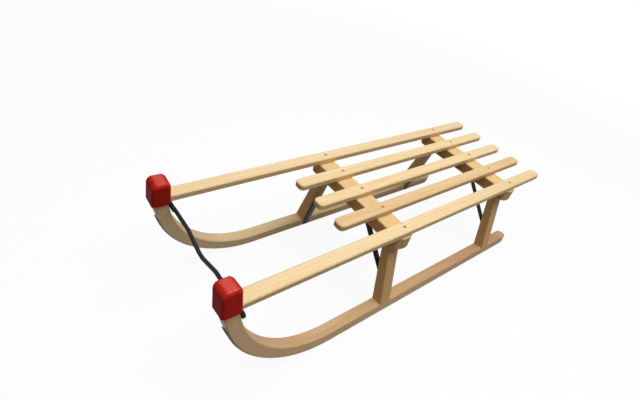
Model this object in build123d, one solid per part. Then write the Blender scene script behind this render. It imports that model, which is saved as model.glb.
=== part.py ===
"""Slatted wooden snow sled: bent runners on steel irons, splayed legs, crossbars and five slats.

The ground is z = 0, the horns point along +X and the sled's left side is +Y. Millimetres.
"""
import math
import os

from build123d import *

os.makedirs("parts", exist_ok=True)

# Seat
SEAT_HEIGHT = 246.0
SLAT_PITCH = 70.0
SLAT_WIDTH = 30.0
SLAT_THICKNESS = 15.0
SLAT_END_ROUND = 11.0
SLAT_REAR_X = -502.0
INNER_SLAT_FRONT_X = 205.0

# Trestles
FRONT_TRESTLE_X = 74.0
REAR_TRESTLE_X = -354.0
CROSSBAR_OVERHANG = 40.0
CROSSBAR_WIDTH = 48.0
CROSSBAR_THICKNESS = 33.0
CROSSBAR_END_ROUND = 19.0
LEG_WIDTH = 33.0
LEG_THICKNESS = 28.0
LEG_TAPER = 7.0
LEG_SPLAY = 14.5
TENON_WIDTH = 22.0
TENON_THICKNESS = 12.0
TENON_LENGTH = 16.0

# Runners
RUNNER_REAR_X = -474.0
RUNNER_WIDTH = 28.0
RUNNER_DEPTH = 27.0
RUNNER_BEND = 259.0
RUNNER_HEEL = 20.0
RUNNER_TAIL_ROUND = 11.0
RUNNER_LEAN = 6.0
HORN_RISE = 32.0
IRON_WIDTH = 18.0
IRON_THICKNESS = 2.5
IRON_HEEL_WRAP = 60.0
IRON_CAP_GAP = 50.0
WOOD_EDGE = 2.0

# Horn caps
CAP_FRONT_X = 502.0
CAP_WALL = 3.8
CAP_CHEEK = 4.7
CAP_REACH = 48.0
CAP_BROW = 12.0
CAP_EDGE = 6.0
STUB_WIDTH = 16.0
STUB_THICKNESS = 7.0
STUB_LENGTH = 14.0

# Steel straps and pull bar
BRACE_WIDTH = 14.0
BRACE_THICKNESS = 3.0
BRACE_FLAT = 68.0
BRACE_LANDING = 95.0
BRACE_FOOT = 9.0
BRACE_BEND = 9.0
BAR_DIAMETER = 8.0
BAR_DROP = 30.5
BAR_DIP = 15.0
BAR_DIP_WIDTH = 112.0
BAR_DIP_FLAT = 14.0
BAR_BEND = 24.0
BAR_OVERHANG = 19.0
FLAT_THICKNESS = 5.0
FLAT_HEIGHT = 12.0
FLAT_ROOT = 6.0

# Clearances
BED_GAP = 0.3
TENON_FIT = 0.3
CAP_FIT = 0.3
FLAT_FIT = 0.5

# Places that follow from the sizes above
SLAT_BOTTOM = SEAT_HEIGHT - SLAT_THICKNESS
CROSSBAR_BOTTOM = SLAT_BOTTOM - CROSSBAR_THICKNESS
HORN_FRONT_X = CAP_FRONT_X - CAP_WALL - CAP_FIT
HORN_REAR_X = HORN_FRONT_X - RUNNER_DEPTH
BEND_X = HORN_FRONT_X - RUNNER_BEND
WOOD_BOTTOM = IRON_THICKNESS + BED_GAP
WOOD_TOP = WOOD_BOTTOM + RUNNER_DEPTH
BEND_W = WOOD_BOTTOM + RUNNER_BEND
LEAN_SIN = math.sin(math.radians(RUNNER_LEAN))
LEAN_COS = math.cos(math.radians(RUNNER_LEAN))
OUTER_SLAT_Y = 2 * SLAT_PITCH
RUNNER_Z = IRON_WIDTH / 2 * LEAN_SIN
SLAT_MIDDLE_W = (SEAT_HEIGHT - SLAT_THICKNESS / 2 - RUNNER_Z) / LEAN_COS
RUNNER_Y = OUTER_SLAT_Y + SLAT_MIDDLE_W * LEAN_SIN
HORN_TIP_W = (SEAT_HEIGHT + HORN_RISE - RUNNER_Z) / LEAN_COS
HORN_STOCK_W = max(HORN_TIP_W, BEND_W) + RUNNER_DEPTH
CAP_TOP_W = HORN_TIP_W + CAP_FIT + CAP_WALL
CAP_BOTTOM_W = HORN_TIP_W - CAP_REACH
IRON_TOP_W = min(CAP_BOTTOM_W - IRON_CAP_GAP, BEND_W)
IRON_SWEEP = math.degrees(math.acos((BEND_W - IRON_TOP_W) / RUNNER_BEND))
SLEEVE_ANGLE = 45.0
LEAN = Location((0, RUNNER_Y, RUNNER_Z), (RUNNER_LEAN, 0, 0))


def leaned(side, up):
    """Point (y, z) of the left runner at a sideways offset from its middle and a height in its plane."""
    y = RUNNER_Y + side * LEAN_COS - up * LEAN_SIN
    z = RUNNER_Z + side * LEAN_SIN + up * LEAN_COS
    return (y, z)


def horn_back(up):
    """Place along the sled of the horn's rear face at a height in the runner's plane."""
    below = max(BEND_W - up, 0)
    return BEND_X + math.sqrt((RUNNER_BEND - RUNNER_DEPTH) ** 2 - below**2)


def crossing(point_a, along_a, point_b, along_b):
    """Point where two straight lines in one plane meet."""
    det = along_a[0] * along_b[1] - along_a[1] * along_b[0]
    gap = (point_b[0] - point_a[0], point_b[1] - point_a[1])
    t = (gap[0] * along_b[1] - gap[1] * along_b[0]) / det
    return (point_a[0] + t * along_a[0], point_a[1] + t * along_a[1])


def above_horn(up):
    """Block over a level cut across the horn or its cap at a height in the runner's plane."""
    return block((BEND_X, 2 * CAP_FRONT_X), (-SLAT_PITCH, SLAT_PITCH), (up, 2 * HORN_STOCK_W))


def slab(outline, width):
    """Solid of an outline in the YZ plane, as wide as stated and centred on x = 0."""
    return extrude(Plane.YZ * outline, amount=width / 2, both=True)


def plate(outline, width):
    """Solid of an outline in the XZ plane, as wide as stated and centred on y = 0."""
    return extrude(Plane.XZ * outline, amount=width / 2, both=True)


def block(x_range, y_range, z_range):
    """Box between two limits on each axis."""
    size = [high - low for low, high in (x_range, y_range, z_range)]
    middle = [(high + low) / 2 for low, high in (x_range, y_range, z_range)]
    return Pos(*middle) * Box(*size)


def export(name, solid, colour):
    """Writes one piece to its own file."""
    solid.label = name
    solid.color = Color(*colour)
    export_step(solid, os.path.join("parts", name + ".step"))


def both_sides(name, solid, colour):
    """Writes a left piece and its mirror image on the right."""
    export(name + "_left", solid, colour)
    export(name + "_right", mirror(solid, about=Plane.XZ), colour)


BEECH = (0.86, 0.68, 0.45)
BLACK_STEEL = (0.05, 0.05, 0.05)
IRON_GREY = (0.30, 0.30, 0.30)
RED = (0.70, 0.08, 0.05)

# Leg, seen along the sled: its axis stands on the middle of the runner's top
LEG_FOOT = leaned(0, WOOD_TOP)
LEG_SIN = math.sin(math.radians(LEG_SPLAY))
LEG_COS = math.cos(math.radians(LEG_SPLAY))
LEG_UP = (-LEG_SIN, LEG_COS)
LEG_OUT = (LEG_COS, LEG_SIN)
RUNNER_OUT = (LEAN_COS, LEAN_SIN)
RUNNER_UP = (-LEAN_SIN, LEAN_COS)
LEG_LENGTH = (CROSSBAR_BOTTOM - LEG_FOOT[1]) / LEG_COS
LEG_HEAD_Y = LEG_FOOT[0] - LEG_LENGTH * LEG_SIN
CROSSBAR_LENGTH = 2 * (LEG_HEAD_Y + CROSSBAR_OVERHANG)


def on_leg(out, up):
    """Point (y, z) at an offset outward from the left leg's axis and a distance up along it."""
    y = LEG_FOOT[0] + out * LEG_OUT[0] + up * LEG_UP[0]
    z = LEG_FOOT[1] + out * LEG_OUT[1] + up * LEG_UP[1]
    return (y, z)


def leg_edge(out):
    """Foot and head of the line at an offset from the leg's axis, cut by runner top and crossbar."""
    start = on_leg(out, 0)
    foot = crossing(start, LEG_UP, LEG_FOOT, RUNNER_OUT)
    head = crossing(start, LEG_UP, (0, CROSSBAR_BOTTOM), (1, 0))
    return foot, head


def tenon(fit):
    """Both tenons of a leg as one bar along its axis, larger by a fit for the mortises."""
    half = TENON_THICKNESS / 2 + fit
    low = -TENON_LENGTH - fit
    high = LEG_LENGTH + TENON_LENGTH + fit
    corners = [on_leg(-half, low), on_leg(half, low), on_leg(half, high), on_leg(-half, high)]
    return slab(Polygon(*corners, align=None), TENON_WIDTH + 2 * fit)


OUTER_FOOT, OUTER_HEAD = leg_edge(LEG_THICKNESS / 2)
INNER_FOOT = leg_edge(-LEG_THICKNESS / 2)[0]
INNER_HEAD = leg_edge(LEG_TAPER - LEG_THICKNESS / 2)[1]
leg = slab(Polygon(INNER_FOOT, OUTER_FOOT, OUTER_HEAD, INNER_HEAD, align=None), LEG_WIDTH)
leg_corners = [edge for edge in leg.edges() if edge.length > LEG_LENGTH / 2]
leg = fillet(leg_corners, WOOD_EDGE) + tenon(0)
mortise = tenon(TENON_FIT)

# Brace strap: under the crossbar, slanting down to the leg, then along leg and runner
STRAP_OFF = BRACE_THICKNESS / 2 + BED_GAP
STRAP_FLAT_Z = CROSSBAR_BOTTOM - STRAP_OFF
inner_run = (INNER_HEAD[0] - INNER_FOOT[0], INNER_HEAD[1] - INNER_FOOT[1])
inner_length = math.hypot(*inner_run)
inner_up = (inner_run[0] / inner_length, inner_run[1] / inner_length)
leg_side = (INNER_FOOT[0] - STRAP_OFF * inner_up[1], INNER_FOOT[1] + STRAP_OFF * inner_up[0])
runner_side = leaned(-RUNNER_WIDTH / 2 - STRAP_OFF, 0)
landing = crossing(leg_side, inner_up, (0, BRACE_LANDING), (1, 0))
knee = crossing(leg_side, inner_up, runner_side, RUNNER_UP)
foot = leaned(-RUNNER_WIDTH / 2 - STRAP_OFF, BRACE_FOOT)
shoulder = (BRACE_FLAT / 2, STRAP_FLAT_Z)
half_path = [shoulder, landing, knee, foot]
strap_points = [(-y, z) for y, z in reversed(half_path)] + half_path
strap_line = FilletPolyline(*strap_points, radius=BRACE_BEND)
HALF_STRAP = BRACE_THICKNESS / 2
strap_sides = [strap_line.offset_2d(HALF_STRAP, side=side, closed=False) for side in (Side.LEFT, Side.RIGHT)]
strap_tips = [sorted((side @ 0, side @ 1), key=lambda tip: tip.X) for side in strap_sides]
strap_edges = [edge for side in strap_sides for edge in side.edges()]
strap_edges += [Line(upper, lower).edge() for upper, lower in zip(*strap_tips)]
strap_face = make_face(strap_edges)
brace = slab(strap_face, BRACE_WIDTH)

# Runner and its iron, upright in their own plane before they lean
TRESTLES = {"front": FRONT_TRESTLE_X, "rear": REAR_TRESTLE_X}
heel_x = RUNNER_REAR_X + RUNNER_HEEL
heel_w = WOOD_BOTTOM + RUNNER_HEEL
runner_outline = make_face(
    [
        Line((heel_x, WOOD_BOTTOM), (BEND_X, WOOD_BOTTOM)).edge(),
        CenterArc((BEND_X, BEND_W), RUNNER_BEND, -90, 90).edge(),
        Line((HORN_FRONT_X, BEND_W), (HORN_FRONT_X, HORN_STOCK_W)).edge(),
        Line((HORN_FRONT_X, HORN_STOCK_W), (HORN_REAR_X, HORN_STOCK_W)).edge(),
        Line((HORN_REAR_X, HORN_STOCK_W), (HORN_REAR_X, BEND_W)).edge(),
        CenterArc((BEND_X, BEND_W), RUNNER_BEND - RUNNER_DEPTH, -90, 90).edge(),
        Line((BEND_X, WOOD_TOP), (RUNNER_REAR_X, WOOD_TOP)).edge(),
        Line((RUNNER_REAR_X, WOOD_TOP), (RUNNER_REAR_X, heel_w)).edge(),
        CenterArc((heel_x, heel_w), RUNNER_HEEL, 180, 90).edge(),
    ]
)
stub_fit_y = STUB_WIDTH / 2 + TENON_FIT
stub_fit_z = STUB_THICKNESS / 2 + TENON_FIT
SLAT_MIDDLE_Z = SEAT_HEIGHT - SLAT_THICKNESS / 2
slat_bottom_w = (SLAT_BOTTOM - RUNNER_Z) / LEAN_COS
OUTER_SLAT_FRONT_X = horn_back(slat_bottom_w) - BED_GAP
stub_socket = block(
    (OUTER_SLAT_FRONT_X, OUTER_SLAT_FRONT_X + STUB_LENGTH + TENON_FIT),
    (OUTER_SLAT_Y - stub_fit_y, OUTER_SLAT_Y + stub_fit_y),
    (SLAT_MIDDLE_Z - stub_fit_z, SLAT_MIDDLE_Z + stub_fit_z),
)
HALF_RUNNER = RUNNER_WIDTH / 2
tail_rounding = block((RUNNER_REAR_X, 2 * CAP_FRONT_X), (-HALF_RUNNER, HALF_RUNNER), (0, HORN_STOCK_W))
tail_edges = tail_rounding.edges().filter_by(Axis.Z).group_by(Axis.X)[0]
tail_rounding = fillet(tail_edges, RUNNER_TAIL_ROUND)
runner = plate(runner_outline, RUNNER_WIDTH) - above_horn(HORN_TIP_W)
runner_rims = [edge for face in runner.faces().filter_by(Axis.Y) for edge in face.edges()]
runner = chamfer(runner_rims, WOOD_EDGE) & tail_rounding
runner = LEAN * runner - stub_socket
for trestle_x in TRESTLES.values():
    runner -= Pos(trestle_x, 0, 0) * mortise


def iron_points(depth):
    """End points of the iron's face at a depth below the wood: heel end and horn end."""
    heel_angle = math.radians(IRON_HEEL_WRAP)
    heel_radius = RUNNER_HEEL + depth
    horn_angle = math.radians(IRON_SWEEP)
    horn_radius = RUNNER_BEND + depth
    heel_end = (heel_x - heel_radius * math.sin(heel_angle), heel_w - heel_radius * math.cos(heel_angle))
    horn_end = (BEND_X + horn_radius * math.sin(horn_angle), BEND_W - horn_radius * math.cos(horn_angle))
    return heel_end, horn_end


def iron_edges(depth):
    """The iron's face at a depth below the wood, from heel to horn."""
    return [
        CenterArc((heel_x, heel_w), RUNNER_HEEL + depth, -90 - IRON_HEEL_WRAP, IRON_HEEL_WRAP).edge(),
        Line((heel_x, WOOD_BOTTOM - depth), (BEND_X, WOOD_BOTTOM - depth)).edge(),
        CenterArc((BEND_X, BEND_W), RUNNER_BEND + depth, -90, IRON_SWEEP).edge(),
    ]


upper_ends = iron_points(BED_GAP)
lower_ends = iron_points(BED_GAP + IRON_THICKNESS)
iron_caps = [Line(upper, lower).edge() for upper, lower in zip(upper_ends, lower_ends)]
iron_outline = make_face(iron_edges(BED_GAP) + iron_edges(BED_GAP + IRON_THICKNESS) + iron_caps)
iron = LEAN * plate(iron_outline, IRON_WIDTH)

# Horn cap: a shell round the horn's tip, cut level below and notched for the slat behind


def horn_sleeve(spread):
    """Outline round the horn at a distance from its faces, from half-way up its bend to its stock's end."""
    front_radius = RUNNER_BEND + spread
    rear_radius = RUNNER_BEND - RUNNER_DEPTH - spread
    turn = math.radians(SLEEVE_ANGLE)
    front_low = (BEND_X + front_radius * math.sin(turn), BEND_W - front_radius * math.cos(turn))
    rear_low = (BEND_X + rear_radius * math.sin(turn), BEND_W - rear_radius * math.cos(turn))
    front_top = (BEND_X + front_radius, HORN_STOCK_W)
    rear_top = (BEND_X + rear_radius, HORN_STOCK_W)
    return make_face(
        [
            Line(rear_low, front_low).edge(),
            CenterArc((BEND_X, BEND_W), front_radius, SLEEVE_ANGLE - 90, 90 - SLEEVE_ANGLE).edge(),
            Line((BEND_X + front_radius, BEND_W), front_top).edge(),
            Line(front_top, rear_top).edge(),
            Line(rear_top, (BEND_X + rear_radius, BEND_W)).edge(),
            CenterArc((BEND_X, BEND_W), rear_radius, SLEEVE_ANGLE - 90, 90 - SLEEVE_ANGLE).edge(),
        ]
    )


def sleeve_x(radius, up):
    """Place along the sled of a line round the bend, upright above it, at a height up the lean."""
    below = max(BEND_W - up, 0)
    return BEND_X + math.sqrt(radius**2 - below**2)


CAP_BORE = RUNNER_WIDTH + 2 * CAP_FIT
CAP_WIDTH = CAP_BORE + 2 * CAP_CHEEK
cap_rear_radius = RUNNER_BEND - RUNNER_DEPTH - CAP_FIT - CAP_WALL
cap_outline = make_face(
    Polyline(
        (CAP_FRONT_X, CAP_BOTTOM_W),
        (CAP_FRONT_X, CAP_TOP_W),
        (sleeve_x(cap_rear_radius, CAP_TOP_W), CAP_TOP_W),
        (sleeve_x(cap_rear_radius, CAP_BOTTOM_W), CAP_BOTTOM_W),
        close=True,
    )
)
cap = plate(cap_outline, CAP_WIDTH)
cap = fillet(cap.edges().filter_by(Axis.Y).group_by(Axis.Z)[-1].sort_by(Axis.X)[-1], CAP_BROW)
cap = chamfer(cap.edges().filter_by(Axis.Y).group_by(Axis.Z)[-1].sort_by(Axis.X)[0], CAP_EDGE)
cap_rims = [edge for face in cap.faces().filter_by(Axis.Y) for edge in face.edges()]
cap = fillet([edge for edge in cap_rims if edge.center().Z > CAP_BOTTOM_W + CAP_WALL], CAP_EDGE)
cap -= plate(horn_sleeve(CAP_FIT), CAP_BORE) - above_horn(HORN_TIP_W + CAP_FIT)
slat_notch_y = SLAT_WIDTH / 2 + CAP_FIT
slat_notch = block(
    (BEND_X, HORN_REAR_X + CAP_FIT),
    (OUTER_SLAT_Y - slat_notch_y, OUTER_SLAT_Y + slat_notch_y),
    (SLAT_BOTTOM - CAP_REACH, SEAT_HEIGHT + CAP_FIT),
)
horn_cap = LEAN * cap - slat_notch

# Slats
# columns: name, place across in pitches, front end
SLATS = [
    ("slat_outer_left", 2, OUTER_SLAT_FRONT_X),
    ("slat_inner_left", 1, INNER_SLAT_FRONT_X),
    ("slat_centre", 0, INNER_SLAT_FRONT_X),
    ("slat_inner_right", -1, INNER_SLAT_FRONT_X),
    ("slat_outer_right", -2, OUTER_SLAT_FRONT_X),
]
for name, place, front_x in SLATS:
    middle_y = place * SLAT_PITCH
    y_range = (middle_y - SLAT_WIDTH / 2, middle_y + SLAT_WIDTH / 2)
    slat = block((SLAT_REAR_X, front_x), y_range, (SLAT_BOTTOM, SEAT_HEIGHT))
    uprights = slat.edges().filter_by(Axis.Z).group_by(Axis.X)
    meets_horn = front_x == OUTER_SLAT_FRONT_X
    rounded = uprights[0] if meets_horn else uprights[0] + uprights[-1]
    slat = fillet(rounded, SLAT_END_ROUND)
    rims = [edge for face in slat.faces().filter_by(Axis.Z) for edge in face.edges()]
    slat = chamfer(rims, WOOD_EDGE)
    if meets_horn:
        slat += block(
            (front_x - STUB_LENGTH, front_x + STUB_LENGTH),
            (middle_y - STUB_WIDTH / 2, middle_y + STUB_WIDTH / 2),
            (SLAT_MIDDLE_Z - STUB_THICKNESS / 2, SLAT_MIDDLE_Z + STUB_THICKNESS / 2),
        )
    export(name, slat, BEECH)

# Trestles
for place, trestle_x in TRESTLES.items():
    there = Pos(trestle_x, 0, 0)
    crossbar = block(
        (-CROSSBAR_WIDTH / 2, CROSSBAR_WIDTH / 2),
        (-CROSSBAR_LENGTH / 2, CROSSBAR_LENGTH / 2),
        (CROSSBAR_BOTTOM, SLAT_BOTTOM),
    )
    crossbar = fillet(crossbar.edges().filter_by(Axis.Z), CROSSBAR_END_ROUND)
    rims = [edge for face in crossbar.faces().filter_by(Axis.Z) for edge in face.edges()]
    crossbar = chamfer(rims, WOOD_EDGE)
    crossbar = crossbar - mortise - mirror(mortise, about=Plane.XZ)
    export("crossbar_" + place, there * crossbar, BEECH)
    export("brace_" + place, there * brace, BLACK_STEEL)
    both_sides("leg_" + place, there * leg, BEECH)

both_sides("runner", runner, BEECH)
both_sides("runner_iron", iron, IRON_GREY)
both_sides("horn_cap", horn_cap, RED)

# Pull bar: a round bar behind the horns, dipped in its middle, flattened where it crosses each horn
bar_z = SEAT_HEIGHT - BAR_DROP
flat_low_w = (bar_z - FLAT_HEIGHT / 2 - RUNNER_Z) / LEAN_COS - RUNNER_WIDTH / 2 * LEAN_SIN
flat_front_x = horn_back(flat_low_w) - FLAT_FIT
bar_x = flat_front_x - BAR_DIAMETER / 2
bar_end_y = OUTER_SLAT_Y + BAR_OVERHANG
horn_middle_y = RUNNER_Y - (bar_z - RUNNER_Z) * LEAN_SIN / LEAN_COS
round_end_y = horn_middle_y - RUNNER_WIDTH / 2 / LEAN_COS - FLAT_ROOT
bar_points = [
    (-round_end_y, bar_z),
    (-BAR_DIP_WIDTH / 2, bar_z),
    (-BAR_DIP_FLAT / 2, bar_z - BAR_DIP),
    (BAR_DIP_FLAT / 2, bar_z - BAR_DIP),
    (BAR_DIP_WIDTH / 2, bar_z),
    (round_end_y, bar_z),
]
bar_line = Pos(bar_x, 0, 0) * (Plane.YZ * FilletPolyline(*bar_points, radius=BAR_BEND))
bar_start = Plane(origin=bar_line @ 0, x_dir=(1, 0, 0), z_dir=bar_line % 0)
pull_bar = sweep(bar_start * Circle(BAR_DIAMETER / 2), path=bar_line)
for side in (1, -1):
    flat_y = sorted((side * (round_end_y - FLAT_ROOT), side * bar_end_y))
    flat_x = (flat_front_x - FLAT_THICKNESS, flat_front_x)
    flat = block(flat_x, flat_y, (bar_z - FLAT_HEIGHT / 2, bar_z + FLAT_HEIGHT / 2))
    flat = fillet(flat.edges().filter_by(Axis.X), FLAT_HEIGHT / 2 - WOOD_EDGE)
    pull_bar += flat
export("pull_bar", pull_bar, BLACK_STEEL)
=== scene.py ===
"""Dresses the slatted wooden snow sled: its finishes, its screws, a plain studio and a camera.

Metres, in the part's own frame: the ground is z = 0, the horns point along +X and the left side is +Y.
"""
import logging
import math
from dataclasses import dataclass, field
from enum import Enum
from typing import Any, ClassVar

import bpy
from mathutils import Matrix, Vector


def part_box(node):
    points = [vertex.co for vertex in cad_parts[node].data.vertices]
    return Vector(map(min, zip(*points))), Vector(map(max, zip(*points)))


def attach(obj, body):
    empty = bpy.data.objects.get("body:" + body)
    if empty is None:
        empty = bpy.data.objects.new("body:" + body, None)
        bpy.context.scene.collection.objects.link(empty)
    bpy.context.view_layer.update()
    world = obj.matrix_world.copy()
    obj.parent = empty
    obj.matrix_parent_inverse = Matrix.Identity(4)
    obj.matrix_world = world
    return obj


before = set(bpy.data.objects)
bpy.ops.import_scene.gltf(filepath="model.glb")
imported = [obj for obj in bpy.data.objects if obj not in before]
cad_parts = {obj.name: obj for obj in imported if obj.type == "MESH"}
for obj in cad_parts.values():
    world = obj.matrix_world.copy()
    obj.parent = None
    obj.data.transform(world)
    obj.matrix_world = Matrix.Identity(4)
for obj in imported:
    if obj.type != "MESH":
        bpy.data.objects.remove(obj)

LOG = logging.getLogger("sled")
BODY = "root"

Colour = tuple[float, float, float]
Point = tuple[float, float, float]
Span = tuple[float, float]

WHITE: Colour = (1.0, 1.0, 1.0)
UP: Point = (0.0, 0.0, 1.0)
DOWN: Point = (0.0, 0.0, -1.0)
BACK: Point = (-1.0, 0.0, 0.0)


def lowest(node: str) -> Vector:
    """The lowest corner of a CAD node's box."""
    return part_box(node)[0]


def highest(node: str) -> Vector:
    """The highest corner of a CAD node's box."""
    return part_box(node)[1]


def middle(node: str) -> Vector:
    """The middle of a CAD node's box."""
    return (lowest(node) + highest(node)) / 2.0


class Side(Enum):
    """The two sides of the sled, with the sign of y on each."""

    LEFT = 1.0
    RIGHT = -1.0

    @property
    def word(self) -> str:
        """The side's name as the nodes spell it."""
        return self.name.lower()


class Trestle(Enum):
    """The two trestles that carry the slats, as the nodes spell them."""

    FRONT = "front"
    REAR = "rear"


class Tone(Enum):
    """Natural shades of beech, as the pale and the dark colour of the grain."""

    CREAM = ((0.925, 0.735, 0.430), (0.835, 0.605, 0.308))
    HONEY = ((0.850, 0.620, 0.320), (0.740, 0.485, 0.210))
    PEACH = ((0.940, 0.740, 0.445), (0.865, 0.625, 0.340))
    ROSE = ((0.840, 0.600, 0.330), (0.740, 0.480, 0.230))
    AMBER = ((0.740, 0.450, 0.190), (0.590, 0.330, 0.120))
    BENT = ((0.820, 0.555, 0.305), (0.690, 0.430, 0.210))
    STRAW = ((0.900, 0.680, 0.390), (0.790, 0.555, 0.285))

    @property
    def pale(self) -> Colour:
        """Colour between the grain lines."""
        return self.value[0]

    @property
    def dark(self) -> Colour:
        """Colour of the grain lines."""
        return self.value[1]


class Run(Enum):
    """The ways in which a piece's grain can run."""

    ALONG_SLED = "along the sled"
    ACROSS_SLED = "across the sled"
    UP_LEG = "up a splayed leg"
    ROUND_BEND = "along a runner and round its bend"


class Value:
    """A number on a node's socket: ordinary arithmetic on it adds Math nodes."""

    def __init__(self, tree: "Tree", socket: bpy.types.NodeSocket) -> None:
        """Holds a socket.

        Args:
            tree: The tree that the socket is in.
            socket: An output socket.
        """
        self.tree = tree
        self.socket = socket

    def __add__(self, other: "Number") -> "Value":
        """Sum."""
        return self.tree.math("ADD", self, other)

    def __radd__(self, other: "Number") -> "Value":
        """Sum, with the number first."""
        return self.tree.math("ADD", other, self)

    def __sub__(self, other: "Number") -> "Value":
        """Difference."""
        return self.tree.math("SUBTRACT", self, other)

    def __rsub__(self, other: "Number") -> "Value":
        """Difference, with the number first."""
        return self.tree.math("SUBTRACT", other, self)

    def __mul__(self, other: "Number") -> "Value":
        """Product."""
        return self.tree.math("MULTIPLY", self, other)

    def __rmul__(self, other: "Number") -> "Value":
        """Product, with the number first."""
        return self.tree.math("MULTIPLY", other, self)

    def __pow__(self, other: "Number") -> "Value":
        """Power."""
        return self.tree.math("POWER", self, other)

    def __abs__(self) -> "Value":
        """Size without sign."""
        return self.tree.math("ABSOLUTE", self)

    def at_least(self, floor: "Number") -> "Value":
        """The larger of this value and another."""
        return self.tree.math("MAXIMUM", self, floor)

    def at_most(self, ceiling: "Number") -> "Value":
        """The smaller of this value and another."""
        return self.tree.math("MINIMUM", self, ceiling)

    def wave(self) -> "Value":
        """A wave from 0 to 1 with one crest to each full turn."""
        return self.tree.math("SINE", self) * 0.5 + 0.5

    def step(self, low: float, high: float) -> "Value":
        """A soft step from 0 to 1.

        Args:
            low: Value at which the step starts.
            high: Value at which the step is complete.

        Returns:
            The step's height.
        """
        settings = {"interpolation_type": "SMOOTHSTEP"}
        return self.tree.add("ShaderNodeMapRange", settings, Value=self, From_Min=low, From_Max=high)


Number = Value | float
Place = tuple[Value, Value, Value]


class Tree:
    """A node tree, with one method that adds any node."""

    def __init__(self, group: bpy.types.NodeTree) -> None:
        """Takes over an empty node tree."""
        self.group = group

    def add(
        self, kind: str, settings: dict[str, Any] | None = None, out: str | int = 0, **sockets: Any
    ) -> Value:
        """Adds a node.

        Args:
            kind: The node's type.
            settings: The node's own settings, which are set first.
            out: Name or number of the output that is wanted.
            **sockets: The inputs, by name with _ for a space or by number after an n. Each is a value,
                a link, or a list of links where the socket takes many.

        Returns:
            The wanted output.
        """
        node = self.group.nodes.new(kind)
        for key, setting in (settings or {}).items():
            setattr(node, key, setting)
        for key, given in sockets.items():
            numbered = key[0] == "n" and key[1:].isdigit()
            socket = node.inputs[int(key[1:])] if numbered else node.inputs[key.replace("_", " ")]
            links = given if isinstance(given, list) else [given]
            if isinstance(links[0], Value):
                for link in links:
                    self.group.links.new(link.socket, socket)
            elif socket.type == "RGBA":
                socket.default_value = (*given, 1.0)
            else:
                socket.default_value = given
        return Value(self, node.outputs[out])

    def end(self, kind: str, socket: str, result: Value) -> None:
        """Links the result to a new output node."""
        self.group.links.new(result.socket, self.group.nodes.new(kind).inputs[socket])

    def math(self, operation: str, *terms: Number) -> Value:
        """Adds a Math node.

        Args:
            operation: The node's operation.
            *terms: Its inputs in order.

        Returns:
            The result.
        """
        inputs = {f"n{count}": term for count, term in enumerate(terms)}
        return self.add("ShaderNodeMath", {"operation": operation}, **inputs)

    def vector(self, x: Number, y: Number, z: Number) -> Value:
        """Joins three numbers to a vector."""
        return self.add("ShaderNodeCombineXYZ", X=x, Y=y, Z=z)


@dataclass(frozen=True)
class Noise:
    """A smooth noise from 0 to 1: its lumps to the metre each way, its octaves and the gain of each."""

    lumps: Point
    octaves: float = 2.0
    gain: float = 0.5

    @classmethod
    def even(cls, lumps: float, octaves: float = 2.0, gain: float = 0.5) -> "Noise":
        """A noise that is equally fine each way."""
        return cls((lumps, lumps, lumps), octaves, gain)


@dataclass(frozen=True)
class Mark:
    """A mark on a surface: its noise, the heights of the noise over which it comes in, and its strength."""

    noise: Noise
    span: Span
    strength: float

    def shown(self, height: Value) -> Value:
        """How strongly the mark shows where its noise has a height."""
        return height.step(*self.span) * self.strength


class Graph(Tree):
    """The shader nodes of a material or a world."""

    def __init__(self, owner: bpy.types.Material | bpy.types.World) -> None:
        """Empties the owner's node tree.

        Args:
            owner: The material or world.
        """
        owner.use_nodes = True
        owner.node_tree.nodes.clear()
        super().__init__(owner.node_tree)
        self.owner = owner

    @classmethod
    def of_material(cls, name: str) -> "Graph":
        """Makes a new material and its graph."""
        return cls(bpy.data.materials.new(name))

    def split(self, vector: Value) -> Place:
        """A vector's three numbers.

        Args:
            vector: The vector.

        Returns:
            Its x, y and z.
        """
        first = self.add("ShaderNodeSeparateXYZ", Vector=vector)
        _, second, third = first.socket.node.outputs
        return first, Value(self, second), Value(self, third)

    def place(self) -> Place:
        """The shaded point's x, y and z in the part's frame."""
        return self.split(self.add("ShaderNodeTexCoord", out="Object"))

    def facing(self) -> Place:
        """The x, y and z of the way that the surface faces, in the part's frame."""
        return self.split(self.add("ShaderNodeTexCoord", out="Normal"))

    def noise(self, kind: Noise, place: Place, seed: float = 0.0) -> Value:
        """Adds a noise.

        Args:
            kind: How fine the noise is.
            place: The shaded point along, across and through the piece.
            seed: Shift along the piece, in lumps.

        Returns:
            Its height, from 0 to 1.
        """
        x, y, z = (axis * lumps for axis, lumps in zip(place, kind.lumps))
        shifted = self.vector(x + seed, y, z)
        return self.add(
            "ShaderNodeTexNoise", Vector=shifted, Scale=1.0, Detail=kind.octaves, Roughness=kind.gain
        )

    def mix(
        self, factor: Number, first: Value | Colour, second: Value | Colour, blend: str = "MIX"
    ) -> Value:
        """Lays one colour over another.

        Args:
            factor: How much of the second is laid on, from 0 to 1.
            first: A colour.
            second: A colour.
            blend: The Mix node's way of laying it on.

        Returns:
            The new colour.
        """
        settings = {"data_type": "RGBA", "blend_type": blend}
        # A Mix node has its two colours in sockets 6 and 7 and their blend in output 2.
        return self.add("ShaderNodeMix", settings, out=2, n0=factor, n6=first, n7=second)

    def tint(self, factor: Number, colour: Value, by: Colour) -> Value:
        """Multiplies a colour by another."""
        return self.mix(factor, colour, by, "MULTIPLY")

    def surface(self, relief: Value, depth: float, strength: float, **sockets: Any) -> Value:
        """Adds a Principled surface with a bump.

        Args:
            relief: Height of the surface.
            depth: What a height of 1 stands for, in metres.
            strength: Strength of the bump.
            **sockets: The shader's other inputs.

        Returns:
            The shader.
        """
        normal = self.add("ShaderNodeBump", Strength=strength, Distance=depth, Height=relief)
        return self.add("ShaderNodeBsdfPrincipled", Normal=normal, **sockets)


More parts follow.
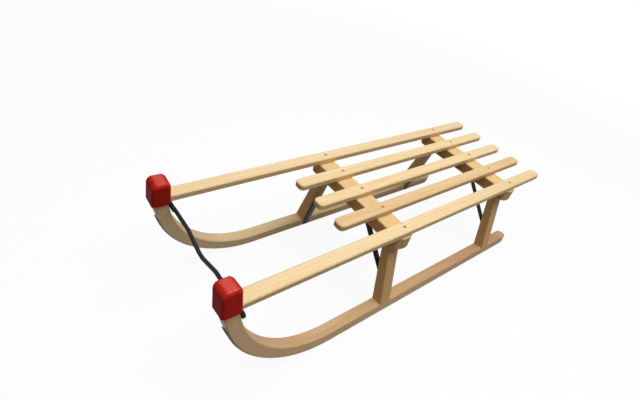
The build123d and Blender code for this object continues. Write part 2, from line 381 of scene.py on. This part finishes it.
@dataclass
class Screw:
    """One screw: the middle of its head's underside and the way its head faces."""

    place: Point
    aim: Point


@dataclass(frozen=True)
class RunnerLine:
    """The line of a runner: straight, then round its bend to the upright horn, all in a leaning plane."""

    # Radius of the wood's outer face, and from there to the iron's running face
    radius: float = 0.259
    iron_face: float = 0.0028
    # Middle of the running face under the flat runner, about which the plane leans
    foot_y: float = 0.16497
    foot_z: float = 0.00094
    lean: float = math.radians(6.0)
    # Middle of the bend
    bend_x: float = highest("runner_left").x - radius
    bend_up: float = radius + iron_face

    def iron_screw(self, side: Side, x: float, angle: float) -> Screw:
        """A screw in the middle of the iron's running face.

        Args:
            side: The runner's side.
            x: Place along the sled of the middle of the turn.
            angle: How far round the bend, in degrees.

        Returns:
            The screw, which faces out of the turn.
        """
        out = self.radius + self.iron_face
        ahead = math.sin(math.radians(angle))
        down = math.cos(math.radians(angle))
        up = self.bend_up - out * down
        y = side.value * (self.foot_y - up * math.sin(self.lean))
        z = self.foot_z + up * math.cos(self.lean)
        aim = (ahead, side.value * down * math.sin(self.lean), -down * math.cos(self.lean))
        return Screw((x + out * ahead, y, z), aim)

    def place(self, graph: Graph, side: Side) -> Place:
        """Where the shaded point is along, across and out from the runner's line.

        Args:
            graph: The material's graph.
            side: The runner's side.

        Returns:
            Distance along the line, sideways offset, and distance from the middle of the bend.
        """
        x, y, z = graph.place()
        off = y * side.value - self.foot_y
        rise = z - self.foot_z
        up = rise * math.cos(self.lean) - off * math.sin(self.lean)
        across = off * math.cos(self.lean) + rise * math.sin(self.lean)
        ahead = (x - self.bend_x).at_least(0.0)
        below = (self.bend_up - up).at_least(0.0)
        above = (up - self.bend_up).at_least(0.0)
        turned = graph.math("ARCTAN2", ahead, below)
        along = x.at_most(self.bend_x) + turned * self.radius + above
        out = (ahead * ahead + below * below) ** 0.5
        return along, across, out


@dataclass(frozen=True)
class LegLine:
    """The line of a splayed leg."""

    splay: float = math.radians(14.5)

    def place(self, graph: Graph, side: Side) -> Place:
        """Where the shaded point is up, across and out from the leg.

        Args:
            graph: The material's graph.
            side: The leg's side.

        Returns:
            Distance up the leg, place along the sled, and distance outwards.
        """
        x, y, z = graph.place()
        out = y * side.value
        up = z * math.cos(self.splay) - out * math.sin(self.splay)
        return up, x, out * math.cos(self.splay) + z * math.sin(self.splay)


class Finish:
    """A finish, which becomes a material of its own on each piece that has it."""

    word: ClassVar[str]

    def shader(self, graph: Graph) -> Value:
        """The finish's shader, which each kind of finish gives."""
        raise NotImplementedError

    def material(self, piece: str) -> bpy.types.Material:
        """Makes the finish for a piece.

        Args:
            piece: The piece's name.

        Returns:
            The material.
        """
        graph = Graph.of_material(f"{piece}_{self.word}")
        graph.end("ShaderNodeOutputMaterial", "Surface", self.shader(graph))
        return graph.owner


@dataclass(frozen=True)
class BeechFinish(Finish):
    """Clear-varnished beech with growth rings, fibre streaks and the short brown flecks of its rays."""

    word: ClassVar[str] = "beech"
    run: Run
    tone: Tone
    seed: float
    side: Side = Side.LEFT
    # Painted shade on a straight bar's side faces
    edge_tint: Colour = WHITE
    # How strongly the board is tinted rosier and darker towards its tail
    heart: float = 0.0

    # Slow drift of shade, fine fibre, broad streaks and ray flecks
    drift: Mark = Mark(Noise((2.6, 16.0, 16.0)), (0.45, 0.80), 0.35)
    fibre: Mark = Mark(Noise((14.0, 620.0, 620.0), 3.0, 0.6), (0.30, 0.75), 0.30)
    streak: Mark = Mark(Noise((3.0, 120.0, 120.0)), (0.35, 0.75), 0.35)
    fleck: Mark = Mark(Noise((240.0, 1500.0, 1500.0), 0.0), (0.66, 0.74), 0.42)
    fleck_shade: Colour = (0.36, 0.185, 0.075)

    # Growth rings, and the pith that they go round
    ring_spacing: float = 0.0031
    ring_strength: float = 0.40
    ring_flatness: float = 0.22
    ring_wander: float = 0.013
    pith_aside: float = 0.18
    pith_below: float = 0.055
    pith_spread: float = 0.020

    # Rosier and darker towards the tail, and sawn ends
    heart_tint: Colour = (0.80, 0.71, 0.74)
    heart_span: Span = (-0.42, 0.16)
    face_span: Span = (0.62, 0.95)
    end_shade: Colour = (0.50, 0.30, 0.135)
    end_strength: float = 0.45
    end_rings: float = 0.35

    # Roughness, relief and varnish
    rough: float = 0.40
    fibre_rough: float = 0.16
    fleck_rough: float = 0.14
    end_rough: float = 0.18
    fibre_relief: float = 0.60
    ring_relief: float = 0.25
    fleck_relief: float = 1.20
    relief_depth: float = 0.00022
    relief_strength: float = 0.35
    gloss: float = 0.12
    varnish: float = 0.02
    varnish_rough: float = 0.30

    def place(self, graph: Graph) -> Place:
        """Where the shaded point is along the grain, across it and through it.

        Args:
            graph: The material's graph.

        Returns:
            Three distances in metres.
        """
        if self.run is Run.ROUND_BEND:
            return RunnerLine().place(graph, self.side)
        if self.run is Run.UP_LEG:
            return LegLine().place(graph, self.side)
        x, y, z = graph.place()
        return (x, y, z) if self.run is Run.ALONG_SLED else (y, x, z)

    def rings(self, across: Value, through: Value, drift: Value) -> Value:
        """Growth rings round a pith that lies outside the piece.

        Args:
            across: Place across the grain.
            through: Place through the piece.
            drift: Noise that bends the rings.

        Returns:
            1 on the dark late wood, 0 between.
        """
        aside = across + self.pith_aside * math.sin(self.seed)
        below = through - (self.pith_below + self.pith_spread * math.cos(self.seed))
        from_pith = (aside * aside * self.ring_flatness + below * below) ** 0.5 + drift * self.ring_wander
        return (from_pith * (2.0 * math.pi / self.ring_spacing)).wave()

    def face_masks(self, graph: Graph) -> tuple[Value, Value]:
        """Tells a straight bar's sawn ends and its sides from its top and bottom.

        Args:
            graph: The material's graph.

        Returns:
            1 on the ends and 0 elsewhere, then 1 on the sides, where shade is painted, and 0 elsewhere.
        """
        x, y, _ = graph.facing()
        end, edge = (y, x) if self.run is Run.ACROSS_SLED else (x, y)
        return abs(end).step(*self.face_span), abs(edge).step(*self.face_span)

    def shader(self, graph: Graph) -> Value:
        """The wood's shader.

        Args:
            graph: The material's graph.

        Returns:
            The shader.
        """
        place = self.place(graph)
        along, across, through = place
        drift = graph.noise(self.drift.noise, place, self.seed)
        fibre = graph.noise(self.fibre.noise, place, self.seed)
        streak = graph.noise(self.streak.noise, place, self.seed)
        fleck = self.fleck.shown(graph.noise(self.fleck.noise, place, self.seed))
        rings = self.rings(across, through, drift)
        grain = rings * rings * self.ring_strength + self.fibre.shown(fibre) + self.streak.shown(streak)
        colour = graph.mix(grain.at_most(1.0), self.tone.pale, self.tone.dark)
        colour = graph.mix(self.drift.shown(drift), colour, self.tone.dark)
        colour = graph.mix(fleck, colour, self.fleck_shade)
        rough = self.rough + fibre * self.fibre_rough + fleck * self.fleck_rough
        if self.heart:
            tail = 1.0 - along.step(*self.heart_span)
            colour = graph.tint(tail * self.heart, colour, self.heart_tint)
        if self.run in (Run.ALONG_SLED, Run.ACROSS_SLED):
            end, edge = self.face_masks(graph)
            # Painted shade on the side faces
            colour = graph.tint(edge, colour, self.edge_tint)
            colour = graph.mix(end * (self.end_strength + rings * self.end_rings), colour, self.end_shade)
            rough = rough + end * self.end_rough
        relief = fibre * self.fibre_relief + rings * self.ring_relief - fleck * self.fleck_relief
        return graph.surface(
            relief, self.relief_depth, self.relief_strength, Base_Color=colour, Roughness=rough,
            Specular_IOR_Level=self.gloss, Coat_Weight=self.varnish, Coat_Roughness=self.varnish_rough,
        )


@dataclass(frozen=True)
class BlackPaintFinish(Finish):
    """Stoved black paint over steel, with a fine orange-peel skin and a few dull rubs."""

    word: ClassVar[str] = "paint"
    paint: Colour = (0.014, 0.0145, 0.017)
    rub_shade: Colour = (0.040, 0.039, 0.039)
    peel: Noise = Noise.even(700.0)
    rub: Mark = Mark(Noise.even(45.0, 3.0, 0.6), (0.60, 0.74), 0.50)
    rough: float = 0.36
    peel_rough: float = 0.10
    rub_rough: float = 0.26
    relief_depth: float = 0.00012
    relief_strength: float = 0.25
    gloss: float = 0.14

    def shader(self, graph: Graph) -> Value:
        """The paint's shader.

        Args:
            graph: The material's graph.

        Returns:
            The shader.
        """
        place = graph.place()
        peel = graph.noise(self.peel, place)
        rub = self.rub.shown(graph.noise(self.rub.noise, place))
        return graph.surface(
            peel, self.relief_depth, self.relief_strength, Specular_IOR_Level=self.gloss,
            Base_Color=graph.mix(rub, self.paint, self.rub_shade),
            Roughness=self.rough + peel * self.peel_rough + rub * self.rub_rough,
        )


@dataclass(frozen=True)
class RunnerIronFinish(Finish):
    """Dark rolled steel, scratched lengthwise and brighter where it runs on the snow."""

    word: ClassVar[str] = "steel"
    side: Side
    scale: Colour = (0.120, 0.116, 0.112)
    bright: Colour = (0.25, 0.245, 0.24)
    rust_shade: Colour = (0.13, 0.070, 0.038)
    scratch: Mark = Mark(Noise((9.0, 2600.0, 400.0), 3.0, 0.65), (0.35, 0.70), 0.65)
    rust: Mark = Mark(Noise((26.0, 90.0, 90.0), 3.0, 0.6), (0.60, 0.78), 0.60)
    running_span: Span = (0.0020, 0.0027)
    running_shine: float = 0.35
    running_clean: float = 0.70
    rough: float = 0.46
    cloud_rough: float = 0.14
    shine_rough: float = -0.12
    rust_rough: float = 0.37
    metal: float = 0.92
    rust_metal: float = -1.25
    relief_depth: float = 0.00010
    relief_strength: float = 0.35

    def shader(self, graph: Graph) -> Value:
        """The iron's shader.

        Args:
            graph: The material's graph.

        Returns:
            The shader.
        """
        line = RunnerLine()
        place = line.place(graph, self.side)
        _, _, out = place
        scratch = graph.noise(self.scratch.noise, place)
        cloud = graph.noise(self.rust.noise, place)
        running = (out - line.radius).step(*self.running_span)
        shine = running * (self.running_shine + self.scratch.shown(scratch))
        rust = self.rust.shown(cloud) * (1.0 - running * self.running_clean)
        colour = graph.mix(shine, self.scale, self.bright)
        rough = self.rough + cloud * self.cloud_rough + shine * self.shine_rough + rust * self.rust_rough
        return graph.surface(
            scratch, self.relief_depth, self.relief_strength, Roughness=rough,
            Base_Color=graph.mix(rust, colour, self.rust_shade), Metallic=self.metal + rust * self.rust_metal,
        )


@dataclass(frozen=True)
class RedPlasticFinish(Finish):
    """Moulded red plastic, paler with a gloss coat in the middle of its top, deeper and matt elsewhere: the
    paler top is painted light and the deeper rest painted shade.
    """

    word: ClassVar[str] = "plastic"
    # The first colour is painted light on the middle of the top; the second is painted shade on every other
    # face.
    top: Colour = (0.640, 0.046, 0.022)
    wall: Colour = (0.490, 0.024, 0.013)
    front: float = highest("horn_cap_left").x
    rear: float = lowest("horn_cap_left").x
    # Where the painted light on the top fades out: from the front edge, from the rear edge, and as the face
    # turns away from up
    brow_span: Span = (0.002, 0.016)
    heel_span: Span = (0.004, 0.014)
    top_span: Span = (0.90, 0.999)
    deep_tint: Colour = (0.84, 0.68, 0.68)
    skin: Noise = Noise.even(1100.0)
    cloud: Mark = Mark(Noise.even(38.0, 3.0, 0.55), (0.35, 0.75), 0.55)
    scuff: Mark = Mark(Noise((160.0, 420.0, 90.0)), (0.62, 0.80), 0.12)
    rough: float = 0.34
    skin_rough: float = 0.08
    relief_depth: float = 0.00010
    relief_strength: float = 0.22
    gloss: float = 0.006
    polish: float = 0.90
    polish_rough: float = 0.16

    def shader(self, graph: Graph) -> Value:
        """The plastic's shader.

        Args:
            graph: The material's graph.

        Returns:
            The shader.
        """
        place = graph.place()
        x, _, _ = place
        _, _, up = graph.facing()
        skin = graph.noise(self.skin, place)
        cloud = self.cloud.shown(graph.noise(self.cloud.noise, place))
        scuff = self.scuff.shown(graph.noise(self.scuff.noise, place))
        # Painted light on the up-facing middle of the top, fading towards its front and rear edges; the same
        # mask lays the gloss coat there.
        from_brow = (self.front - x).step(*self.brow_span)
        from_heel = (x - self.rear).step(*self.heel_span)
        painted_light_and_polish = up.step(*self.top_span) * from_brow * from_heel
        return graph.surface(
            skin, self.relief_depth, self.relief_strength, Specular_IOR_Level=self.gloss,
            Base_Color=graph.tint(cloud, graph.mix(painted_light_and_polish, self.wall, self.top), self.deep_tint),
            Roughness=self.rough + skin * self.skin_rough + scuff,
            Coat_Weight=painted_light_and_polish * self.polish, Coat_Roughness=self.polish_rough,
        )


@dataclass(frozen=True)
class ScrewFinish(Finish):
    """Plated screw steel with a fine skin and dulled patches."""

    word: ClassVar[str] = "finish"
    plate: Colour
    dull_shade: Colour
    skin: Noise = Noise.even(2400.0)
    dull: Mark = Mark(Noise.even(210.0), (0.40, 0.72), 1.0)
    rough: float = 0.36
    skin_rough: float = 0.08
    dull_rough: float = 0.20
    metal: float = 0.85
    relief_depth: float = 0.00006
    relief_strength: float = 0.25

    def shader(self, graph: Graph) -> Value:
        """The plated steel's shader.

        Args:
            graph: The material's graph.

        Returns:
            The shader.
        """
        place = graph.place()
        skin = graph.noise(self.skin, place)
        dull = self.dull.shown(graph.noise(self.dull.noise, place))
        return graph.surface(
            skin, self.relief_depth, self.relief_strength, Metallic=self.metal,
            Base_Color=graph.mix(dull, self.plate, self.dull_shade),
            Roughness=self.rough + dull * self.dull_rough + skin * self.skin_rough,
        )


YELLOW_PLATED = ScrewFinish((0.420, 0.270, 0.110), (0.300, 0.185, 0.075))
BLACKENED = ScrewFinish((0.055, 0.054, 0.054), (0.110, 0.106, 0.100))
BARE = ScrewFinish((0.300, 0.295, 0.285), (0.170, 0.160, 0.150))


@dataclass
class ScrewSet:
    """Like screws of one finish, made as one mesh by a node tree that puts a head on every point."""

    name: str
    slot: str
    finish: ScrewFinish
    screws: list[Screw]
    head_radius: float = 0.0036
    head_height: float = 0.0009
    recess_length: float = 0.0042
    recess_width: float = 0.0010
    recess_depth: float = 0.0007
    head_sides: int = 32
    shoulder: float = 0.80
    first_turn: float = 0.4
    next_turn: float = 1.7

    SIZES: ClassVar[tuple[str, ...]] = (
        "head_radius", "head_height", "recess_length", "recess_width", "recess_depth",
    )

    def head(
        self, tree: Tree, radius: Value, height: Value, length: Value, width: Value, depth: Value
    ) -> Value:
        """Makes one head: a low cone with a cross-shaped recess in its top.

        Args:
            tree: The node tree.
            radius: The head's radius.
            height: The head's height.
            length: Length of the recess.
            width: Width of its arms.
            depth: Its depth.

        Returns:
            The head's mesh.
        """
        cone = tree.add(
            "GeometryNodeMeshCone", Vertices=self.head_sides, Radius_Top=radius * self.shoulder,
            Radius_Bottom=radius, Depth=height,
        )
        cuts = []
        tall = depth * 2.0
        top = tree.vector(0.0, 0.0, height)
        for size in (tree.vector(length, width, tall), tree.vector(width, length, tall)):
            arm = tree.add("GeometryNodeMeshCube", Size=size)
            cuts.append(tree.add("GeometryNodeTransform", Geometry=arm, Translation=top))
        carving = {"operation": "DIFFERENCE", "solver": "EXACT"}
        return tree.add("GeometryNodeMeshBoolean", carving, n0=cone, n1=cuts)

    def heads(self) -> bpy.types.NodeTree:
        """Builds the node tree.

        Returns:
            A tree whose named inputs are the head's sizes and its material.
        """
        group = bpy.data.node_groups.new(self.name + "_heads", "GeometryNodeTree")
        named = group.interface
        named.new_socket("Geometry", in_out="INPUT", socket_type="NodeSocketGeometry")
        for size in self.SIZES:
            named.new_socket(size, in_out="INPUT", socket_type="NodeSocketFloat")
        named.new_socket("material", in_out="INPUT", socket_type="NodeSocketMaterial")
        named.new_socket("Geometry", in_out="OUTPUT", socket_type="NodeSocketGeometry")
        tree = Tree(group)
        sources = group.nodes.new("NodeGroupInput").outputs
        points = Value(tree, sources["Geometry"])
        head = self.head(tree, *(Value(tree, sources[size]) for size in self.SIZES))
        aim = tree.add("GeometryNodeInputNamedAttribute", {"data_type": "FLOAT_VECTOR"}, Name="aim")
        turn = tree.add("GeometryNodeInputNamedAttribute", {"data_type": "FLOAT"}, Name="turn")
        spun = tree.add("FunctionNodeAxisAngleToRotation", Axis=UP, Angle=turn)
        facing = tree.add("FunctionNodeAlignRotationToVector", {"axis": "Z"}, Rotation=spun, Vector=aim)
        placed = tree.add("GeometryNodeInstanceOnPoints", Points=points, Instance=head, Rotation=facing)
        real = tree.add("GeometryNodeRealizeInstances", Geometry=placed)
        material = Value(tree, sources["material"])
        done = tree.add("GeometryNodeSetMaterial", Geometry=real, Material=material)
        tree.end("NodeGroupOutput", "Geometry", done)
        return group

    def points(self) -> bpy.types.Object:
        """Makes a point for each screw, with its aim and its turn about it.

        Returns:
            An object of bare points.
        """
        mesh = bpy.data.meshes.new(self.name + "_points")
        mesh.from_pydata([screw.place for screw in self.screws], [], [])
        mesh.attributes.new("aim", "FLOAT_VECTOR", "POINT")
        mesh.attributes.new("turn", "FLOAT", "POINT")
        for count, screw in enumerate(self.screws):
            mesh.attributes["aim"].data[count].vector = screw.aim
            mesh.attributes["turn"].data[count].value = self.first_turn + self.next_turn * count
        points = bpy.data.objects.new(self.name + "_points", mesh)
        bpy.context.collection.objects.link(points)
        return points

    def build(self) -> bpy.types.Object:
        """Makes the screws and rides them on the sled.

        Returns:
            The finished piece.
        """
        points = self.points()
        modifier = points.modifiers.new("heads", "NODES")
        modifier.node_group = self.heads()
        values: dict[str, Any] = {size: getattr(self, size) for size in self.SIZES}
        values["material"] = self.finish.material(self.name)
        for item in modifier.node_group.interface.items_tree:
            if item.in_out == "INPUT" and item.name in values:
                modifier[item.identifier] = values[item.name]
        evaluated = points.evaluated_get(bpy.context.evaluated_depsgraph_get())
        mesh = bpy.data.meshes.new_from_object(evaluated)
        mesh.name = self.name
        points.modifiers.remove(modifier)
        bpy.data.objects.remove(points)
        piece = bpy.data.objects.new(self.name, mesh)
        bpy.context.collection.objects.link(piece)
        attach(piece, BODY)
        LOG.info("%s: %d screws, %d faces", self.name, len(self.screws), len(mesh.polygons))
        return piece


def dress(node: str, finish: Finish) -> None:
    """Gives a CAD node a finish.

    Args:
        node: The node's name.
        finish: The finish.
    """
    material = finish.material(node)
    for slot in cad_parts[node].material_slots:
        slot.material = material
    LOG.info("%s: %s", node, material.name)


@dataclass(frozen=True)
class Board:
    """One slat: its node, its tone, its grain's seed and how strongly its tail is tinted rosier and darker.
    """

    node: str
    tone: Tone
    seed: float
    heart: float


@dataclass
class SlatDeck:
    """The five slats and the screws that hold them to the crossbars."""

    # Painted shade on the slats' side faces
    edge_tint: Colour = (0.86, 0.79, 0.69)
    head_radius: float = 0.0040
    recess_length: float = 0.0046
    boards: tuple[Board, ...] = (
        Board("slat_outer_left", Tone.CREAM, 1.3, 0.30),
        Board("slat_inner_left", Tone.ROSE, 4.9, 0.0),
        Board("slat_centre", Tone.CREAM, 7.4, 0.0),
        Board("slat_inner_right", Tone.CREAM, 11.2, 0.0),
        Board("slat_outer_right", Tone.PEACH, 15.8, 0.30),
    )

    def dress(self) -> None:
        """Gives each slat its own board of beech."""
        for board in self.boards:
            beech = BeechFinish(
                Run.ALONG_SLED, board.tone, board.seed, edge_tint=self.edge_tint, heart=board.heart
            )
            dress(board.node, beech)

    def build(self) -> bpy.types.Object:
        """Makes a screw where each slat crosses each crossbar.

        Returns:
            The finished piece.
        """
        screws = []
        for trestle in Trestle:
            x = middle("crossbar_" + trestle.value).x
            for board in self.boards:
                screws.append(Screw((x, middle(board.node).y, highest(board.node).z), UP))
        heads = ScrewSet(
            "slat_screws", "black_steel", YELLOW_PLATED, screws, self.head_radius,
            recess_length=self.recess_length,
        )
        return heads.build()


@dataclass
class Trestles:
    """Crossbars, splayed legs and the strap braces under them."""

    strap_thickness: float = 0.003
    strap_screw_y: float = 0.019
    # On the strap's inner face, as y and z: its lower end, and the way up along it
    strap_foot: Span = (0.1445, 0.0284)
    strap_up: Span = (-0.2121, 0.9772)
    leg_screw_up: float = 0.040
    # Painted shade on each crossbar's side faces, deeper on the rear bar
    bar_edges: dict[Trestle, Colour] = field(
        default_factory=lambda: {Trestle.FRONT: (0.74, 0.58, 0.34), Trestle.REAR: (0.60, 0.44, 0.28)}
    )
    bar_seed: float = 20.5
    next_bar_seed: float = 3.0
    leg_seed: float = 31.0
    next_leg_seed: float = 5.3
    leg_side_seed: float = 2.2

    def dress(self) -> None:
        """Gives wood and straps their finishes."""
        for count, trestle in enumerate(Trestle):
            bar_seed = self.bar_seed + self.next_bar_seed * count
            edge_tint = self.bar_edges[trestle]
            bar = BeechFinish(Run.ACROSS_SLED, Tone.HONEY, bar_seed, edge_tint=edge_tint)
            dress("crossbar_" + trestle.value, bar)
            dress("brace_" + trestle.value, BlackPaintFinish())
            for side in Side:
                leg_seed = self.leg_seed + self.next_leg_seed * count + self.leg_side_seed * side.value
                leg = BeechFinish(Run.UP_LEG, Tone.AMBER, leg_seed, side)
                dress(f"leg_{trestle.value}_{side.word}", leg)

    def build(self) -> bpy.types.Object:
        """Makes the screws that hold the straps under the crossbars and on the legs.

        Returns:
            The finished piece.
        """
        screws = []
        out = self.strap_foot[0] + self.leg_screw_up * self.strap_up[0]
        up = self.strap_foot[1] + self.leg_screw_up * self.strap_up[1]
        for trestle in Trestle:
            strap = "brace_" + trestle.value
            x = middle(strap).x
            under = highest(strap).z - self.strap_thickness
            for side in Side:
                screws.append(Screw((x, side.value * self.strap_screw_y, under), DOWN))
                inward = (0.0, -side.value * self.strap_up[1], self.strap_up[0])
                screws.append(Screw((x, side.value * out, up), inward))
        return ScrewSet("brace_screws", "black_steel", BLACKENED, screws).build()


@dataclass
class Runners:
    """The bent runners with their irons."""

    line: RunnerLine = RunnerLine()
    flat_places: tuple[float, ...] = (-0.430, -0.240, -0.050, 0.140)
    bend_angles: tuple[float, ...] = (30.0, 64.0)
    head_height: float = 0.0004
    recess_depth: float = 0.0003
    tones: dict[Side, Tone] = field(default_factory=lambda: {Side.LEFT: Tone.BENT, Side.RIGHT: Tone.STRAW})
    seed: float = 44.0
    side_seed: float = 2.7
    heart: float = 0.85

    def dress(self) -> None:
        """Gives the bent wood and the irons their finishes."""
        for side in Side:
            seed = self.seed + self.side_seed * side.value
            beech = BeechFinish(Run.ROUND_BEND, self.tones[side], seed, side, heart=self.heart)
            dress("runner_" + side.word, beech)
            dress("runner_iron_" + side.word, RunnerIronFinish(side))

    def build(self) -> bpy.types.Object:
        """Makes the screws that hold the irons.

        Returns:
            The finished piece.
        """
        spots = [(x, 0.0) for x in self.flat_places]
        spots += [(self.line.bend_x, angle) for angle in self.bend_angles]
        screws = [self.line.iron_screw(side, *spot) for side in Side for spot in spots]
        heads = ScrewSet(
            "iron_screws", "iron", BARE, screws, head_height=self.head_height, recess_depth=self.recess_depth
        )
        return heads.build()


@dataclass
class Front:
    """The horn caps and the pull bar between the horns."""

    flat_thickness: float = 0.005
    flat_height: float = 0.012
    horn_y: float = 0.1424

    def dress(self) -> None:
        """Gives caps and bar their finishes."""
        for side in Side:
            dress("horn_cap_" + side.word, RedPlasticFinish())
        dress("pull_bar", BlackPaintFinish())

    def build(self) -> bpy.types.Object:
        """Makes the screws that hold the bar's flattened ends to the horns.

        Returns:
            The finished piece.
        """
        x = highest("pull_bar").x - self.flat_thickness
        z = highest("pull_bar").z - self.flat_height / 2.0
        screws = [Screw((x, side.value * self.horn_y, z), BACK) for side in Side]
        return ScrewSet("bar_screws", "black_steel", BLACKENED, screws).build()


@dataclass
class Studio:
    """A white floor, soft light from above and a camera that looks down on the sled's left front."""

    floor_half: float = 40.0
    floor_white: Colour = (0.95, 0.95, 0.95)
    floor_bounce: Colour = (0.20, 0.20, 0.20)
    floor_glow: float = 0.92
    floor_fade: Span = (1.2, 3.2)
    fill: float = 0.15
    key_power: float = 70.0
    key_place: Point = (-0.15, 0.50, 2.6)
    key_size: float = 2.4
    # Places in metres, turns in degrees, sensor and lens in millimetres
    camera_place: Point = (0.7103, 0.4816, 0.7902)
    camera_turn: Point = (52.206, -12.879, 142.321)
    camera_near: float = 0.01
    sensor: float = 36.0
    lens: float = 23.70
    shift: Span = (-0.0092, -0.0078)

    def seen(self, graph: Graph) -> Value:
        """1 for rays from the camera, a mirror or glass, which see the white studio itself.

        Args:
            graph: The floor's or the world's graph.

        Returns:
            The mask.
        """
        camera = graph.add("ShaderNodeLightPath", out="Is Camera Ray")
        rays = camera.socket.node.outputs
        mirror = Value(graph, rays["Is Glossy Ray"])
        glass = Value(graph, rays["Is Transmission Ray"])
        return camera.at_least(mirror).at_least(glass)

    def floor(self) -> bpy.types.Object:
        """Makes the floor.

        Returns:
            The floor.
        """
        half = self.floor_half
        ring = [(-half, -half, 0.0), (half, -half, 0.0), (half, half, 0.0), (-half, half, 0.0)]
        mesh = bpy.data.meshes.new("floor")
        mesh.from_pydata(ring, [], [(0, 1, 2, 3)])
        graph = Graph.of_material("floor_white")
        seen = self.seen(graph)
        x, y, _ = graph.place()
        far = ((x * x + y * y) ** 0.5).step(*self.floor_fade)
        share = seen * (self.floor_glow + (1.0 - self.floor_glow) * far)
        white = graph.mix(seen, self.floor_bounce, self.floor_white)
        matt = graph.add("ShaderNodeBsdfPrincipled", Base_Color=white, Roughness=1.0, Specular_IOR_Level=0.0)
        glow = graph.add("ShaderNodeEmission", Color=WHITE, Strength=1.0)
        mixed = graph.add("ShaderNodeMixShader", n0=share, n1=matt, n2=glow)
        graph.end("ShaderNodeOutputMaterial", "Surface", mixed)
        mesh.materials.append(graph.owner)
        floor = bpy.data.objects.new("floor", mesh)
        bpy.context.collection.objects.link(floor)
        return floor

    def world(self) -> None:
        """Makes an even fill light that looks white."""
        graph = Graph(bpy.data.worlds.new("studio"))
        dim = graph.add("ShaderNodeBackground", Color=WHITE, Strength=self.fill)
        white = graph.add("ShaderNodeBackground", Color=WHITE, Strength=1.0)
        mixed = graph.add("ShaderNodeMixShader", n0=self.seen(graph), n1=dim, n2=white)
        graph.end("ShaderNodeOutputWorld", "Surface", mixed)
        bpy.context.scene.world = graph.owner

    def light(self) -> None:
        """Hangs the soft light."""
        lamp = bpy.data.lights.new("key", "AREA")
        lamp.shape = "SQUARE"
        lamp.size = self.key_size
        lamp.energy = self.key_power
        key = bpy.data.objects.new("key", lamp)
        key.location = self.key_place
        bpy.context.collection.objects.link(key)

    def camera(self) -> None:
        """Sets up the camera."""
        data = bpy.data.cameras.new("camera")
        data.sensor_width = self.sensor
        data.lens = self.lens
        data.shift_x, data.shift_y = self.shift
        data.clip_start = self.camera_near
        camera = bpy.data.objects.new("camera", data)
        camera.location = self.camera_place
        camera.rotation_euler = [math.radians(angle) for angle in self.camera_turn]
        bpy.context.collection.objects.link(camera)
        bpy.context.scene.camera = camera

    def build(self) -> None:
        """Makes the whole studio."""
        self.floor()
        self.world()
        self.light()
        self.camera()
        bpy.context.scene.view_settings.view_transform = "Standard"


def main() -> None:
    """Builds and dresses the sled in order."""
    logging.basicConfig(level=logging.INFO, format="%(name)s %(message)s")
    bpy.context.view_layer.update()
    for assembly in (SlatDeck(), Trestles(), Runners(), Front()):
        assembly.dress()
        assembly.build()
    Studio().build()


if __name__ == "__main__":
    main()
